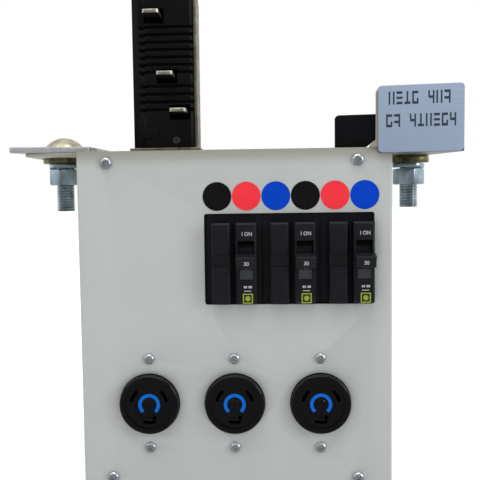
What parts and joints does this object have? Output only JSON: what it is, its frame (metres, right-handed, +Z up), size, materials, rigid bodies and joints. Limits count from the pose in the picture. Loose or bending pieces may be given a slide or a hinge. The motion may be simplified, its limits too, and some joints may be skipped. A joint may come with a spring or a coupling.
{
  "type": "busway plug-in power distribution box",
  "caption": "Sheet-steel plug-in box with breakers behind a window, locking receptacles, a stab contact housing on top and two bolted hangers.",
  "frame": {"origin": "centre of the enclosure's bottom face", "axes": "+X to the right, -Y out of the front cover towards the user, +Z up along the stab contact housing"},
  "size_m": [0.2964, 0.1276, 0.332],
  "materials": {
    "painted_steel": "light grey enamel on folded steel",
    "galvanised_plate": "dull galvanised",
    "bracket_paint": "beige grey enamel",
    "plain_steel": "mill finish",
    "zinc_screw": "bright zinc",
    "zinc_yellow": "yellowish zinc",
    "nameplate": "brushed aluminium plate",
    "black_plate": "satin black",
    "breaker_black": "moulded phenolic",
    "handle_black": "moulded",
    "window_smoke": "smoked clear",
    "tag_lime": "printed tag",
    "receptacle_black": "glossy nylon",
    "receptacle_grey": "moulded nylon",
    "mark_blue": "printed",
    "dot_black": "vinyl sticker",
    "dot_red": "vinyl sticker",
    "dot_blue": "vinyl sticker",
    "tin_copper": "tin-plated copper",
    "copper_bar": "bare copper",
    "bronze": "spring bronze",
    "housing_black": "moulded polyester glass",
    "support_red": "moulded insulator",
    "wire_black": "insulated lead",
    "wire_red": "insulated lead",
    "wire_blue": "insulated lead",
    "wire_green": "insulated lead"
  },
  "bodies": {
    "enclosure": {"back_tray": "painted_steel", "breaker_1_blank_pole": "breaker_black", "breaker_1_switch_pole": "breaker_black", "breaker_2_blank_pole": "breaker_black", "breaker_2_switch_pole": "breaker_black", "breaker_3_blank_pole": "breaker_black", "breaker_3_switch_pole": "breaker_black", "breaker_rail": "plain_steel", "bus_bar_a": "copper_bar", "bus_bar_b": "copper_bar", "bus_bar_c": "copper_bar", "bus_screws": "zinc_screw", "bus_support": "support_red", "carriage_bolts": "zinc_yellow", "contacts": "bronze", "cover_screws": "zinc_screw", "flat_washers": "zinc_yellow", "front_cover": "painted_steel", "ground_bar": "plain_steel", "ground_leads": "wire_green", "guide_plate": "black_plate", "guide_screws": "zinc_screw", "hex_nuts": "zinc_screw", "instruction_bracket": "plain_steel", "instruction_plate": "nameplate", "line_jaws": "tin_copper", "line_leads": "wire_black", "load_leads_black": "wire_black", "load_leads_blue": "wire_blue", "load_leads_red": "wire_red", "load_lugs": "tin_copper", "lock_washers": "zinc_screw", "lug_screws": "zinc_screw", "phase_dots_black": "dot_black", "phase_dots_blue": "dot_blue", "phase_dots_red": "dot_red", "rating_tags": "tag_lime", "receptacle_1_face": "receptacle_black", "receptacle_2_face": "receptacle_black", "receptacle_3_face": "receptacle_black", "receptacle_bodies": "receptacle_grey", "receptacle_screws": "zinc_screw", "receptacle_straps": "plain_steel", "right_hanger_bracket": "bracket_paint", "ring_marks": "mark_blue", "stab_back_cover": "housing_black", "stab_blade_a": "tin_copper", "stab_blade_b": "tin_copper", "stab_blade_c": "tin_copper", "stab_bracket": "galvanised_plate", "stab_housing": "housing_black", "stab_screws": "zinc_screw", "terminal_screws": "zinc_screw", "top_plate": "painted_steel", "trip_windows": "window_smoke"},
    "handle_1": {"breaker_1_handle": "handle_black"},
    "handle_2": {"breaker_2_handle": "handle_black"},
    "handle_3": {"breaker_3_handle": "handle_black"},
    "left_hanger": {"left_hanger_plate": "galvanised_plate"}
  },
  "joints": [
    {"name": "handle_1_throw", "type": "hinge", "parent": "enclosure", "child": "handle_1", "pos_m": [0.008, -0.05, 0.16], "axis": [-1, 0, 0], "range_deg": [0, 30]},
    {"name": "handle_2_throw", "type": "hinge", "parent": "enclosure", "child": "handle_2", "pos_m": [0.0461, -0.05, 0.16], "axis": [-1, 0, 0], "range_deg": [0, 30]},
    {"name": "handle_3_throw", "type": "hinge", "parent": "enclosure", "child": "handle_3", "pos_m": [0.0842, -0.05, 0.16], "axis": [-1, 0, 0], "range_deg": [0, 30]},
    {"name": "left_hanger_swivel", "type": "hinge", "parent": "enclosure", "child": "left_hanger", "pos_m": [-0.122, -0.015, 0.2301], "axis": [0, 0, 1], "range_deg": [-90, 90]}
  ]
}
